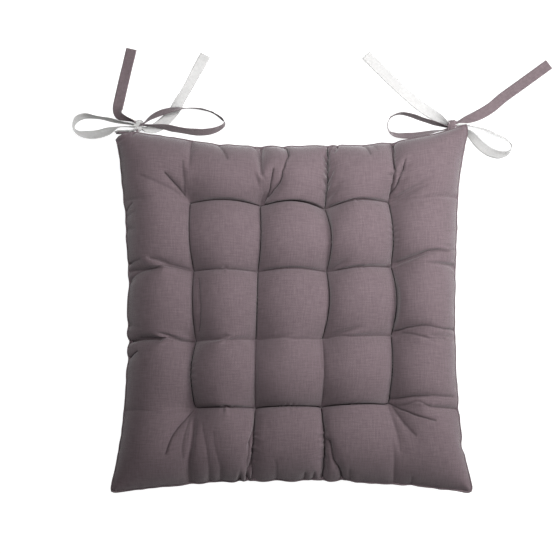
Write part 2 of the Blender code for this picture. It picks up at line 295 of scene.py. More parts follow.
TIE_WIDTH = 0.012
TIE_PINCHED = 0.007  # width where a ribbon enters a knot
TIE_IN_KNOT = 0.0045
PINCH_RUN = 0.014  # length over which it spreads to its full width
TIE_THICK = 0.0006
TIE_STEP = 0.0015
TIE_CUP = 0.0004  # how far a ribbon's edges curl up
TIE_TWIST = 0.0006  # how far they rise and fall along it
TIE_CRUMPLE = 0.0012  # depth of its pleats where it is squeezed
TILT_IN_KNOT = 80
SELVEDGE = 0.00012  # how much thicker its edges are
HEM = 0.006  # the turned-under end of a ribbon
HEM_THICK = 0.0004
SECTION = 9  # points across a ribbon on each face
SPLINE_STEPS = 24  # finer samples between two points of a route, before they are evened out

WRAP_HALF = (0.0062, 0.0040)  # half the height and depth of a knot, inside its band
WRAP_WIDTH = 0.0085
WRAP_TURNS = 1.3
WRAP_STEPS = 64  # to one turn
WRAP_SECTION = 11
WRAP_LOWEST = 0.0003
WRAP_SEED = 5

# Routes as in the CAD: x, y, z of a ribbon's middle line, and its tilt in degrees, 0 flat, 90 on edge.
LEFT_KNOT = (-0.1715, 0.2088, 0.005)
LEFT_ROUTES = {
    "light_root": (
        (-0.1962, 0.2011, 0.0125, 90), (-0.1905, 0.2023, 0.0085, 90), (-0.183, 0.2024, 0.0068, 90),
        (-0.1775, 0.2034, 0.0065, 90),
    ),
    "dark_root": (
        (-0.195, 0.1995, 0.0125, 90), (-0.188, 0.1999, 0.0085, 90), (-0.18, 0.1996, 0.0068, 90),
        (-0.1732, 0.2006, 0.0065, 90),
    ),
    "light_loop": (
        (-0.1772, 0.2108, 0.0065, 85), (-0.19, 0.2125, 0.0068, 84), (-0.205, 0.216, 0.0066, 78),
        (-0.219, 0.2185, 0.0068, 82), (-0.232, 0.22, 0.0066, 70), (-0.2415, 0.216, 0.0068, 70),
        (-0.245, 0.2075, 0.007, 85), (-0.24, 0.2008, 0.0068, 60), (-0.231, 0.1985, 0.0058, 38),
        (-0.219, 0.1988, 0.0052, 30), (-0.206, 0.2022, 0.0058, 32), (-0.192, 0.2072, 0.0067, 76),
        (-0.1772, 0.2077, 0.0065, 85),
    ),
    "light_tail": (
        (-0.1659, 0.205, 0.0036, 50), (-0.159, 0.2048, 0.0018, 12), (-0.15, 0.2085, 0.001, 0),
        (-0.141, 0.216, 0.001, 0), (-0.132, 0.226, 0.001, 0), (-0.125, 0.2385, 0.0036, -34),
        (-0.118, 0.25, 0.0044, -44), (-0.107, 0.271, 0.003, -24), (-0.0966, 0.2905, 0.001, 0),
    ),
    "dark_loop": (
        (-0.1655, 0.2112, 0.0078, 80), (-0.156, 0.218, 0.0085, 52), (-0.144, 0.2235, 0.0088, 48),
        (-0.13, 0.227, 0.0086, 58), (-0.115, 0.2285, 0.0072, 80), (-0.1, 0.2272, 0.0068, 88),
        (-0.086, 0.2225, 0.0068, 90), (-0.076, 0.215, 0.0068, 90), (-0.0755, 0.2095, 0.0068, 80),
        (-0.085, 0.204, 0.0064, 66), (-0.098, 0.2015, 0.0064, 60), (-0.113, 0.2022, 0.0066, 60),
        (-0.13, 0.2048, 0.0076, 64), (-0.145, 0.2075, 0.0092, 72), (-0.1655, 0.209, 0.0092, 88),
    ),
    "dark_tail": (
        (-0.1772, 0.214, 0.0068, 80), (-0.186, 0.2172, 0.007, 60), (-0.193, 0.2205, 0.0062, 40),
        (-0.1952, 0.2285, 0.003, 12), (-0.1935, 0.24, 0.001, 0), (-0.188, 0.265, 0.001, 0),
        (-0.1805, 0.2975, 0.001, 0),
    ),
}
RIGHT_KNOT = (0.182, 0.2088, 0.005)
RIGHT_ROUTES = {
    "light_root": (
        (0.1965, 0.2012, 0.0098, 90), (0.1925, 0.2022, 0.0072, 90), (0.186, 0.203, 0.005, 90),
    ),
    "dark_root": (
        (0.1945, 0.1992, 0.01, 90), (0.189, 0.2002, 0.0072, 90), (0.1827, 0.2006, 0.005, 90),
    ),
    "dark_loop": (
        (0.1762, 0.208, 0.006, 85), (0.164, 0.2112, 0.0068, 80), (0.149, 0.216, 0.0066, 78),
        (0.135, 0.221, 0.0066, 80), (0.1235, 0.2228, 0.0068, 86), (0.1135, 0.219, 0.0068, 90),
        (0.109, 0.2105, 0.0068, 88), (0.1115, 0.2015, 0.0068, 72), (0.12, 0.1975, 0.0066, 54),
        (0.133, 0.1972, 0.0062, 50), (0.148, 0.1992, 0.0062, 54), (0.163, 0.2022, 0.0064, 68),
        (0.1762, 0.2048, 0.0058, 85),
    ),
    "light_tail": (
        (0.1764, 0.2122, 0.0056, 60), (0.167, 0.218, 0.004, 22), (0.1545, 0.2262, 0.0012, 4),
        (0.14, 0.2375, 0.001, 0), (0.124, 0.252, 0.001, 0), (0.104, 0.2715, 0.001, 0),
        (0.085, 0.2905, 0.001, 0),
    ),
    "dark_tail": (
        (0.1875, 0.2122, 0.0056, 65), (0.1985, 0.2155, 0.004, 35), (0.213, 0.222, 0.0014, 8),
        (0.227, 0.2305, 0.001, 0), (0.24, 0.2415, 0.001, 0), (0.26, 0.256, 0.001, 0),
        (0.293, 0.28, 0.001, 0),
    ),
    "light_loop": (
        (0.1878, 0.209, 0.0062, 88), (0.203, 0.2082, 0.0068, 78), (0.219, 0.2035, 0.0068, 68),
        (0.233, 0.1975, 0.0068, 66), (0.244, 0.192, 0.0068, 74), (0.2485, 0.185, 0.0068, 88),
        (0.244, 0.178, 0.0066, 74), (0.234, 0.1762, 0.0058, 50), (0.223, 0.18, 0.0052, 38),
        (0.213, 0.188, 0.005, 38), (0.205, 0.197, 0.005, 48), (0.1975, 0.2035, 0.0056, 75),
        (0.1878, 0.2058, 0.0058, 88),
    ),
}


def smooth_route(route, step):
    """Samples on a smooth curve through a route's points, each with its tilt, about step apart."""
    points = np.array(route, float)
    ends = np.vstack([2 * points[0] - points[1], points, 2 * points[-1] - points[-2]])
    fine = []
    for a, b, c, d in zip(ends, ends[1:], ends[2:], ends[3:]):
        fine += [between(a, b, c, d, t) for t in np.linspace(0, 1, SPLINE_STEPS, endpoint=False)]
    fine = np.array(fine + [points[-1]])
    along = run_along(fine[:, :3])
    steps = np.linspace(0, along[-1], max(3, math.ceil(along[-1] / step) + 1))
    samples = np.stack([np.interp(steps, along, fine[:, k]) for k in range(fine.shape[1])], axis=1)
    return samples, steps


def with_widths(part, to_knot):
    """A stretch of route that leaves a knot, and may return to it, with its width at each point."""
    points = np.array(part, float)
    along = run_along(points[:, :3])
    spread = np.minimum(1.0, along / PINCH_RUN)
    if to_knot:
        spread = np.minimum(spread, (along[-1] - along) / PINCH_RUN)
    return np.column_stack([points, TIE_PINCHED + (TIE_WIDTH - TIE_PINCHED) * spread])


def whole_route(root, loop, tail, knot):
    """A ribbon from its seam through its knot, loop and knot again to its free end.

    Each point has x, y, z, tilt and width.
    """
    root = np.column_stack([root, np.full(len(root), TIE_PINCHED)])
    middle = np.array([[*knot, TILT_IN_KNOT, TIE_IN_KNOT]])
    over = middle + [0, 0, TIE_THICK, 0, 0]
    return np.vstack([root, middle, with_widths(loop, True), over, with_widths(tail, False)])


def ribbon_mesh(name, route, material, seed):
    """A woven tape swept along its route, slightly cupped and with thick selvedges.

    Also returns its middle line.
    """
    samples, steps = smooth_route(route, TIE_STEP)
    line = samples[:, :3]
    ahead = unit(np.gradient(line, axis=0))
    level = unit(np.cross(ahead, UP))
    upright = np.cross(level, ahead)
    tilt = np.radians(samples[:, 3])[:, None]
    across = level * np.cos(tilt) + upright * np.sin(tilt)
    face = np.cross(across, ahead)
    face *= np.sign((face[:, 2:] + 1e-9))
    twist = np.random.default_rng(seed).normal(0, 1, len(line))
    twist = np.convolve(twist, np.hanning(15) / np.hanning(15).sum(), "same") * TIE_TWIST
    lie = np.linspace(-1, 1, SECTION)
    vertices, flat = [], []
    for k in range(len(line)):
        width = samples[k, 4]
        crumple = (1 - (width - TIE_IN_KNOT) / (TIE_WIDTH - TIE_IN_KNOT)) * TIE_CRUMPLE
        turned = steps[-1] - steps[k] < HEM
        for side in (1, -1):
            for w in lie[::side]:
                bead = SELVEDGE * (abs(w) > 0.8) + HEM_THICK * turned * (side > 0)
                lift = TIE_CUP * (w * w - 0.3) + crumple * math.cos(w * 9 + seed) + twist[k] * w
                out = side * (TIE_THICK / 2 * (1 - 0.75 * (abs(w) == 1)) + bead * (abs(w) < 1))
                vertices.append(line[k] + across[k] * w * width / 2 + face[k] * (lift + out))
                flat.append((w * width / 2, steps[k]))
    piece = add_mesh(name, vertices, band_faces(len(line), 2 * SECTION), material, flat)
    return piece, line


def make_knot_wrap(name, centre, material):
    """The band of ribbon wound round a knot."""
    vertices, flat = [], []
    ripple = np.random.default_rng(WRAP_SEED).uniform(0, 2 * math.pi, 2)
    across = np.linspace(-1, 1, WRAP_SECTION)
    steps = int(WRAP_STEPS * WRAP_TURNS)
    for k in range(steps + 1):
        angle = 2 * math.pi * k / WRAP_STEPS
        drift = (k / steps - 0.5) * WRAP_WIDTH * 0.35
        for side in (1, -1):
            for w in across[::side]:
                bulge = 1 - 0.22 * w * w + 0.05 * math.sin(7 * w + ripple[0] + 2 * angle)
                lay = 1 + 0.05 * k / steps + 0.035 * math.sin(3 * angle + ripple[1] + 3 * w)
                thick = side * TIE_THICK / 2 * (1 - 0.7 * (abs(w) == 1))
                y = (WRAP_HALF[0] * bulge * lay + thick) * math.cos(angle)
                z = (WRAP_HALF[1] * bulge * lay + thick) * math.sin(angle)
                x = w * WRAP_WIDTH / 2 + drift
                vertices.append((centre[0] + x, centre[1] + y, max(centre[2] + z, WRAP_LOWEST)))
                flat.append((w * WRAP_WIDTH / 2, angle * WRAP_HALF[0]))
    return add_mesh(name, vertices, band_faces(steps + 1, 2 * WRAP_SECTION), material, flat)


def make_tie(side, shade, routes, knot, material, slot, seed):
    """One corner's light or dark ribbon, a free cord from its seam to its bare end."""
    parts = [f"{shade}_{part}" for part in ("root", "loop", "tail")]
    route = whole_route(*[routes[part] for part in parts], knot)
    piece, line = ribbon_mesh(f"{side}_{shade}_ribbon", route, material, seed)
    place_piece(piece, slot, *[f"tie_{side}_{part}" for part in parts])


def make_ties(taupe, off_white):
    for side, knot, routes, wrap, wrap_slot, light_length, dark_length in (
            ("left", LEFT_KNOT, LEFT_ROUTES, off_white, "off_white_tape", 0.31, 0.35),
            ("right", RIGHT_KNOT, RIGHT_ROUTES, taupe, "taupe_tape", 0.30, 0.32)):
        band = make_knot_wrap(f"{side}_knot_wrap", knot, wrap)
        place_piece(band, wrap_slot, f"tie_{side}_knot")
        make_tie(side, "light", routes, knot, off_white, "off_white_tape", seed=3)
        make_tie(side, "dark", routes, knot, taupe, "taupe_tape", seed=4)


# ---------------------------------------------------------------- the stuffed covers

TIP = 0.1985  # from the centre to the seam at a corner, along X and along Y
# How far out each side's seam lies halfway along it, by the axis across it (0 x, 1 y) and its sign.
MIDS = {(0, -1): 0.1808, (0, 1): 0.1816, (1, -1): 0.1885, (1, 1): 0.183}
FLARE_POWER = 3  # how suddenly the sides flare out to the corners
FRONT_POWER = 2
SEAM_MID = 0.019  # height of the seam halfway along a side
SEAM_TIP = 0.013  # and at a corner
TUFT_TOP = 0.027  # top cover at a tuft
TUFT_BOTTOM = 0.013
CELLS = 5

# The shape that the simulation starts from.
CREST = 0.045
BELLY = 0.0165  # how far an underside puff hangs under its tufts
LOWEST = 0.0006
EDGE_ROUND = 0.5  # width of the rounded edge, in cells
PUFF_POWER = 0.7
DROP_POWER = 4  # how suddenly the seam drops to the corners

FLAT = 0.416  # side of the cut cover, between its seams
FLAT_CELL = 0.080  # spacing of the tufts on the flat cover
FLAT_SHIFT = 0.004  # how far the tufts were marked out towards the rear
MM = 0.001
COARSE = 105  # threads across each cover in the first simulation
SEAM_GATHER = 0.96  # the sewn edge is this much shorter than the cloth beside it
ROUND = 0.009  # radius of the turned corners
SLACK_IN, SLACK_OUT = 0.0008, 0.0012  # how far the seam may wander from its outline
NOTCH = 0.006  # how far a fold that runs over the edge draws the seam in
SCALLOP = 0.0025  # and a crease between tufts
SEAM_WAVE = 0.0006  # the seam's own small waves
SEAM_LOW, SEAM_HIGH = 0.009, 0.024
BELLY_INSIDE = 0.0008  # the underside bulges no further out than this inside the seam
BELLY_STRIP = 12  # which is kept up over one part in so many of its width, at each side
TABLE = 0.0004  # the underside stays this far above the table

FILL_TOP = 0.0395  # the filling's height between the tufts
FILL_ROUND = 0.05  # how far in from the seam it reaches that
TUFT_DIP = 0.017  # radius of the dip in it at a tuft
CREASE_WIDE = 0.0032
CREASE_DIP = 0.0025
CREASE_HOLD = 0.03  # how firmly the creases are held down on the filling
FOLD_DIP = 0.003
DITCH_NARROWEST = 1.1  # in threads
CREASE_SLACK, FOLD_SLACK = 1.5, 1.6  # what a crease takes off the pressure over it

DAMPING = 0.93
START_NOISE = 0.03  # small unevenness at the start, in threads
SHEAR = 0.2  # stiffness of the weave against skewing

CREASE_WANDER, FOLD_WANDER = 0.009, 0.003  # how far a pressed slot may follow its valley sideways
CREASE_SLOT, FOLD_SLOT = 0.009, 0.003
SLOT_NARROWEST, SLOT_SHARPNESS = (0.8, 0.85), (3, 2.2)  # of a crease, and of a fold
SLOT_CLEARANCE = 0.005  # radius round a tuft where no slot is pressed
PINCH = 0.85  # how closely the cloth is drawn together over a slot
PINCH_WIDE = 0.0025
PINCH_REACH = 9  # how far from its route a slot can draw cloth in, in threads
CREASE_SHADING, FOLD_SHADING = 1.5, 0.6  # how strongly shade is painted on the cloth along a crease, and along a fold
TUCK_NARROWEST, TUCK_SHARPNESS = (1.2, 1.0), 2
ROUTE_STEP = 0.005
VALLEY_PULL = 0.0006  # the height a crease gives up to stay near its place
VALLEY_PROBES = 33

# Each corner's shift from a square pad, by the signs of its place.
CORNER_SHIFTS = {(-1, -1): (-0.0005, -0.003), (1, -1): (0.001, -0.003), (-1, 1): (0.0015, 0.005),
                 (1, 1): (-0.001, 0.010)}
# Where a side's seam swells out further: axis and sign, place along it, half width, how far.
SWELLS = ((1, 1, -0.135, 0.045, 0.0035), (0, -1, 0.11, 0.04, 0.002), (0, 1, 0.08, 0.03, 0.0014))
# The rear left corner is folded in along a line: its direction outwards, and how far out it lies.
FOLDED_CORNER = np.array((-0.405, 0.914))
FOLDED_REACH = 0.2526

# How the top cover's creases lie: (bow in mm, depth from 0 to 1). Rows run from the rear to the front,
# each from the left seam to the right, and bow to the rear. Columns run from the left to the right, each
# from the rear seam to the front, and bow to the right.
ROW_CREASES = (
    ((0, 0.1), (6, 0.7), (8, 0.7), (6, 0.5), (0, 0.1)),
    ((3, 0.3), (2, 0.5), (4, 0.5), (2, 0.5), (6, 0.1)),
    ((3, 0.3), (1, 0.3), (0, 0.3), (1, 0.4), (1, 0.1)),
    ((0, 0.1), (2, 0.55), (3, 0.9), (3, 0.8), (3, 0.4)),
)
COLUMN_CREASES = (
    ((0, 0.2), (-4, 0.7), (-3, 0.7), (-6, 1.0), (0, 0.2)),
    ((0, 0.3), (3, 0.8), (0, 1.0), (0, 0.5), (-2, 0.6)),
    ((2, 1.0), (8, 0.7), (7, 0.8), (3, 0.4), (2, 0.6)),
    ((2, 0.5), (4, 1.0), (7, 1.0), (3, 1.0), (0, 0.1)),
)

# Small folds in the top cover: depth from 0 to 1, width in mm, and a route over the pad in mm.
FOLDS = (
    (0.9, 3.0, (-111, 121), (-129, 138)),
    (0.5, 5.0, (-117, 121), (-151, 135)),
    (0.6, 4.0, (-110, 121), (-113, 152)),
    (1.0, 3.2, (-31, 117), (-24, 149)),
    (1.0, 3.4, (-28, 122), (-17, 137), (-9, 162), (-14, 188)),
    (0.3, 4.0, (-35, 119), (-35, 186)),
    (0.6, 4.5, (-80, 188), (-73, 156)),
    (0.4, 4.0, (-45, 186), (-41, 160)),
    (0.7, 3.5, (-188, 104), (-166, 110)),
    (0.4, 4.0, (-182, 98), (-161, 102)),
    (0.4, 4.0, (-186, 87), (-163, 86)),
    (0.7, 4.0, (-111, 46), (-131, 49), (-147, 55)),
    (0.6, 3.5, (-188, 49), (-158, 56)),
    (0.6, 5.0, (-111, 42), (-139, 44), (-158, 41), (-186, 30)),
    (0.7, 4.0, (-97, 33), (-95, 0), (-99, -22)),
    (0.9, 3.4, (107, 122), (107, 131), (111, 160), (111, 186)),
    (1.0, 3.4, (110, 123), (118, 142), (121, 152)),
    (0.6, 3.5, (78, 188), (85, 161)),
    (0.4, 3.0, (86, 186), (90, 167)),
    (0.4, 3.0, (51, 188), (52, 167)),
    (0.5, 5.0, (114, 49), (132, 52), (144, 58), (174, 61)),
    (0.6, 3.5, (111, 20), (110, -17)),
    (0.6, 3.2, (-108, -35), (-136, -33), (-150, -29), (-164, -27)),
    (0.65, 3.2, (-188, -34), (-164, -34), (-143, -36)),
    (0.3, 4.0, (-186, -14), (-160, -16)),
    (1.0, 3.2, (-190, -54), (-165, -48)),
    (0.8, 3.5, (-108, -111), (-118, -123), (-124, -134), (-128, -148)),
    (0.5, 4.0, (-108, -114), (-113, -142), (-113, -155)),
    (0.4, 4.0, (-103, -112), (-103, -190)),
    (0.6, 3.5, (-38, -112), (-38, -132), (-42, -170)),
    (0.65, 3.6, (-46, -140), (-52, -161), (-48, -179), (-45, -190)),
    (0.6, 3.0, (-56, -190), (-56, -178)),
    (0.4, 4.0, (-91, -125), (-86, -160), (-86, -190)),
    (0.4, 4.0, (-81, -132), (-75, -166), (-75, -190)),
    (0.4, 4.0, (-13, -160), (-13, -190)),
    (0.8, 3.2, (35, -109), (38, -136), (38, -162)),
    (0.9, 3.6, (44, -143), (48, -160), (54, -171), (56, -190)),
    (0.5, 3.0, (33, -153), (33, -190)),
    (0.6, 2.6, (15, -176), (15, -190)),
    (0.6, 2.6, (24, -176), (24, -190)),
    (0.4, 3.0, (64, -172), (65, -190)),
    (0.4, 3.0, (125, -176), (125, -190)),
    (0.8, 3.2, (111, -27), (123, -24), (144, -22), (160, -24), (188, -25)),
    (0.6, 3.2, (120, -30), (137, -33), (151, -37), (163, -37)),
    (0.7, 4.0, (110, -101), (130, -97), (150, -94), (172, -94)),
    (0.9, 3.5, (109, -106), (125, -112), (136, -116), (149, -120)),
    (0.5, 4.0, (111, -109), (119, -123), (129, -134)),
    (0.4, 4.0, (108, -109), (112, -132), (114, -150)),
    (1.0, 3.2, (192, -145), (178, -140)),
    (0.4, 3.5, (30, -34), (30, -65)),
)


def tuft_places():
    """The tufts' plan positions, front row first, from their CAD nodes."""
    rows = []
    for row in range(CELLS - 1, 0, -1):
        line = []
        for column in range(1, CELLS):
            low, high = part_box(f"tuft_stitch_r{row}c{column}")
            line.append(((low.x + high.x) / 2, (low.y + high.y) / 2))
        rows.append(line)
    return rows


TUFTS = tuft_places()
COLUMNS_FLAT = [FLAT_CELL * (k - CELLS / 2) for k in range(1, CELLS)]
ROWS_FLAT = [place + FLAT_SHIFT for place in COLUMNS_FLAT]


def flat_line(count):
    """The places of so many threads across the flat cover."""
    return np.linspace(-FLAT / 2, FLAT / 2, count)


def flat_grid(count):
    """The two coordinates of every crossing of its threads."""
    return np.meshgrid(flat_line(count), flat_line(count), indexing="ij")


def nearest_thread(places, count):
    """The numbers of the threads nearest to places on the flat cover."""
    return np.clip(np.rint((np.array(places) / FLAT + 0.5) * (count - 1)).astype(int), 0, count - 1)


def beside(u, v, start, end):
    """How far along and how far from a straight stretch of route each point of the flat cover lies."""
    (x0, y0), (x1, y1) = start, end
    dx, dy = x1 - x0, y1 - y0
    share = np.clip(((u - x0) * dx + (v - y0) * dy) / (dx * dx + dy * dy), 0, 1)
    return share, np.hypot(u - x0 - share * dx, v - y0 - share * dy)


def cell_of(places, tufts):
    """Places across the flat cover, in metres from its middle, as cell coordinates from 0 to CELLS."""
    return np.interp(places, [-FLAT / 2, *tufts, FLAT / 2], range(CELLS + 1))


def corner_shift(x, y):
    """What the corner nearest each place is shifted by, fading out away from it."""
    weight = (np.abs(x * y) / TIP ** 2) ** FLARE_POWER
    shift = np.zeros((2, *np.shape(x)))
    for (sx, sy), move in CORNER_SHIFTS.items():
        near = (np.sign(x) == sx) & (np.sign(y) == sy)
        for axis in (0, 1):
            shift[axis] += near * weight * move[axis]
    return shift


def outline_plan(u, v):
    """Plan position of points given in cells, from the outline alone."""
    s, t = 2 * u / CELLS - 1, 2 * v / CELLS - 1
    flare = np.abs(s * t) ** FLARE_POWER
    front_flare = np.abs(s) ** FRONT_POWER * np.abs(t) ** FLARE_POWER
    mid_x = np.where(s < 0, MIDS[0, -1], MIDS[0, 1])
    mid_y = np.where(t < 0, MIDS[1, -1], MIDS[1, 1])
    x = s * mid_x + (TIP - mid_x) * np.sign(s) * flare
    y = t * mid_y + (TIP - mid_y) * np.where(t < 0, -front_flare, flare)
    return np.array([x, y]) + corner_shift(x, y)


def reach(axis, sign, along):
    """How far out the seam of one side lies, at these places along it."""
    mid = MIDS[axis, sign]
    power = FRONT_POWER if (axis, sign) == (1, -1) else FLARE_POWER
    at = [along, along]
    at[axis] = np.full_like(along, sign * TIP)
    out = mid + (TIP - mid) * np.minimum(np.abs(along) / TIP, 1) ** power + sign * corner_shift(*at)[axis]
    for *side, place, width, swell in SWELLS:
        if side == [axis, sign]:
            out = out + swell * np.exp(-((along - place) / width) ** 2)
    return out


def turned_corner(places):
    """Places on the seam, drawn in where they lie outside the rounded corners."""
    shift = corner_shift(*places.T).T
    inner = np.maximum(np.abs(places - shift) - (TIP - ROUND), 0)
    far = np.hypot(*inner.T)
    inside = places - np.sign(places) * inner * (np.maximum(far - ROUND, 0) / np.maximum(far, ROUND))[:, None]
    over = np.maximum(inside @ FOLDED_CORNER - FOLDED_REACH, 0)
    return inside - over[:, None] * FOLDED_CORNER


def plan(u, v):
    """Plan position of points given in cells, drawn over with the tufts."""
    drift = np.zeros((CELLS + 1, CELLS + 1, 2))
    for row, line in enumerate(TUFTS, start=1):
        for column, place in enumerate(line, start=1):
            drift[column, row] = np.array(place) - outline_plan(float(column), float(row))
    i, j = np.minimum(u.astype(int), CELLS - 1), np.minimum(v.astype(int), CELLS - 1)
    a, b = (u - i)[..., None], (v - j)[..., None]
    near = drift[i, j] * (1 - a) * (1 - b) + drift[i + 1, j] * a * (1 - b)
    far = drift[i, j + 1] * (1 - a) * b + drift[i + 1, j + 1] * a * b
    x, y = outline_plan(u, v)
    moved = near + far
    return x + moved[..., 0], y + moved[..., 1]


def first_shape(count):
    """Both covers laid in their sewn places, already a little puffed: (2, count, count, 3)."""
    line = flat_line(count)
    u, v = np.meshgrid(cell_of(line, COLUMNS_FLAT), cell_of(line, ROWS_FLAT), indexing="ij")
    x, y = plan(u, v)

    def swell(w):
        return np.sin(np.pi * np.clip(w, EDGE_ROUND, CELLS - EDGE_ROUND)) ** 2

    def rise(w):
        near = np.minimum(np.minimum(w, CELLS - w), EDGE_ROUND) / EDGE_ROUND
        return np.sqrt(1 - (1 - near) ** 2)

    puff = ((swell(u) + swell(v)) / 2) ** PUFF_POWER
    edge = rise(u) * rise(v)
    s, t = 2 * u / CELLS - 1, 2 * v / CELLS - 1
    seam = SEAM_MID + (SEAM_TIP - SEAM_MID) * np.abs(s * t) ** DROP_POWER
    top = seam + (TUFT_TOP + (CREST - TUFT_TOP) * puff - seam) * edge
    bottom = seam + (TUFT_BOTTOM - BELLY * puff - seam) * edge
    return np.stack([np.stack([x, y, top], -1), np.stack([x, y, np.maximum(bottom, LOWEST)], -1)])


def ditch(u, v, route, width):
    """A rounded trough along a route over the flat cover: 1 on it, fading to 0 beside it."""
    trough = np.zeros_like(u)
    for start, end in zip(route, route[1:]):
        _, gap = beside(u, v, start, end)
        trough = np.maximum(trough, np.exp(-(gap / width) ** 2))
    return trough


def flat_place(place):
    """Where a place on the pad, in mm, lies on the flat cover."""
    across = [-MIDS[0, -1], *np.mean(TUFTS, 0)[:, 0], MIDS[0, 1]]
    along = [-MIDS[1, -1], *np.mean(TUFTS, 1)[:, 1], MIDS[1, 1]]
    return (np.interp(place[0] * MM, across, [-FLAT / 2, *COLUMNS_FLAT, FLAT / 2]),
            np.interp(place[1] * MM, along, [-FLAT / 2, *ROWS_FLAT, FLAT / 2]))


def crease_routes():
    """The creases between tufts on the flat cover: their depth, width and route."""
    routes = []
    stops = [-FLAT / 2, *COLUMNS_FLAT, FLAT / 2]
    for place, spans in zip(ROWS_FLAT, reversed(ROW_CREASES)):
        routes += [(depth, CREASE_WIDE, [(a, place), (b, place)])
                   for a, b, (_, depth) in zip(stops, stops[1:], spans)]
    stops = [-FLAT / 2, *ROWS_FLAT, FLAT / 2]
    for place, spans in zip(COLUMNS_FLAT, COLUMN_CREASES):
        routes += [(depth, CREASE_WIDE, [(place, a), (place, b)])
                   for a, b, (_, depth) in zip(stops, stops[1:], reversed(spans))]
    return routes


def fold_routes():
    """The same for the small folds."""
    return [(depth, width * MM, [flat_place(place) for place in route]) for depth, width, *route in FOLDS]


def ditches(count, routes, narrowest, sharpness=1.0):
    """How strongly each point of the top cover is creased by these routes, from 0 to 1.

    narrowest is the least width of a crease, in threads.
    """
    u, v = flat_grid(count)
    narrowest *= FLAT / (count - 1)
    deepest = np.zeros_like(u)
    for depth, width, route in routes:
        deepest = np.maximum(deepest, depth * ditch(u, v, route, max(width / sharpness, narrowest)))
    return deepest


def valley_route(route, heights, wander):
    """A route moved sideways, by up to wander, to the bottom of the valley it runs along."""
    route = np.array(route)
    along = run_along(route)
    steps = np.linspace(0, along[-1], max(4, round(along[-1] / ROUTE_STEP)))
    points = np.stack([np.interp(steps, along, route[:, k]) for k in (0, 1)], -1)
    ahead = unit(np.gradient(points, axis=0))
    sideways = np.stack([-ahead[:, 1], ahead[:, 0]], -1)
    shifts = np.linspace(-wander, wander, VALLEY_PROBES)
    index = nearest_thread(points[:, None] + sideways[:, None] * shifts[:, None], len(heights))
    level = heights[index[..., 0], index[..., 1]] + VALLEY_PULL * (shifts / wander) ** 2
    shift = np.pad(shifts[level.argmin(1)], 2, "edge")
    shift = np.convolve(shift, np.hanning(7)[1:-1] / np.hanning(7).sum(), "valid")
    return [tuple(point) for point in points + sideways * shift[:, None]]


def near_tufts(u, v, size):
    """1 at each tuft on the flat cover, fading to 0 away from it."""
    near = np.zeros_like(u)
    for a in COLUMNS_FLAT:
        for b in ROWS_FLAT:
            near += np.exp(-((u - a) ** 2 + (v - b) ** 2) / size ** 2)
    return near


def filling_height(count, creases, folds):
    """The top of the filling under each point of the top cover, which the cover can't sink into."""
    u, v = flat_grid(count)
    near = np.clip((FLAT / 2 - np.maximum(np.abs(u), np.abs(v))) / FILL_ROUND, 0, 1)
    height = SEAM_MID + (FILL_TOP - SEAM_MID) * np.sqrt(1 - (1 - near) ** 2)
    height -= (FILL_TOP - TUFT_TOP) * near_tufts(u, v, TUFT_DIP)
    return height - CREASE_DIP * creases ** 2 - FOLD_DIP * folds


def pull(a, b, rest, stiffness, only_apart=False):
    """Moves paired points along the line between them towards their rest distance.

    With only_apart, it moves only points that are too near, so that it resists folding.
    """
    d = b - a
    long = np.sqrt((d * d).sum(-1, keepdims=True))
    excess = 1 - rest / np.maximum(long, 1e-9)
    if only_apart:
        excess = np.minimum(excess, 0)
    d *= 0.5 * stiffness * excess
    a += d
    b -= d


def pairs(near, far, apart):
    """Points of near and far that lie so many threads apart, in sets where none comes twice."""
    for start in range(2 * apart):
        a, b = near[:, start:-apart:2 * apart], far[:, start + apart::2 * apart]
        both = min(a.shape[1], b.shape[1])
        yield a[:, :both], b[:, :both]


def stretch_back(x, thread, edge_thread, fold):
    """Brings the threads back to their length, and the weave and the folds towards theirs."""
    for axis in (1, 2):
        y = np.moveaxis(x, axis, 1)
        for a, b in pairs(y, y, 1):
            pull(a, b, thread * edge_thread[:, None], 1.0)
    for p, q in ((x[:, :, :-1], x[:, :, 1:]), (x[:, :, 1:], x[:, :, :-1])):
        for a, b in pairs(p, q, 1):
            pull(a, b, thread * math.sqrt(2), SHEAR)
    for axis in (1, 2):
        y = np.moveaxis(x, axis, 1)
        for a, b in pairs(y, y, 2):
            pull(a, b, 2 * thread, fold, only_apart=True)


def crease_points(count, columns, rows):
    """The threads between neighbouring tufts and out to the seams, with how each is meant to lie.

    Returns the points' indices, the indices of the two ends of each one's span, its share of the way
    along, and its bow and depth.
    """
    points = []
    stops = [0, *columns, count - 1]
    for line, spans in zip(rows, reversed(ROW_CREASES)):
        for a, b, (bow, depth) in zip(stops, stops[1:], spans):
            for k in range(a + 1, b):
                points.append((k, line, a, line, b, line, (k - a) / (b - a), 0, bow * MM, depth))
    stops = [0, *rows, count - 1]
    for line, spans in zip(columns, COLUMN_CREASES):
        for a, b, (bow, depth) in zip(stops, stops[1:], reversed(spans)):
            for k in range(a + 1, b):
                points.append((line, k, line, a, line, b, (k - a) / (b - a), bow * MM, 0, depth))
    table = np.array(points)
    return table[:, :6].astype(int).T, table[:, 6:].astype(np.float32).T


def smooth_noise(count, step, rng):
    """Random numbers from -1 to 1 along a line, smooth over about this many points."""
    knots = rng.uniform(-1, 1, count // step + 3)
    place = np.linspace(0, len(knots) - 2, count)
    k, t = place.astype(int), place % 1
    t = t * t * (3 - 2 * t)
    return knots[k] * (1 - t) + knots[k + 1] * t


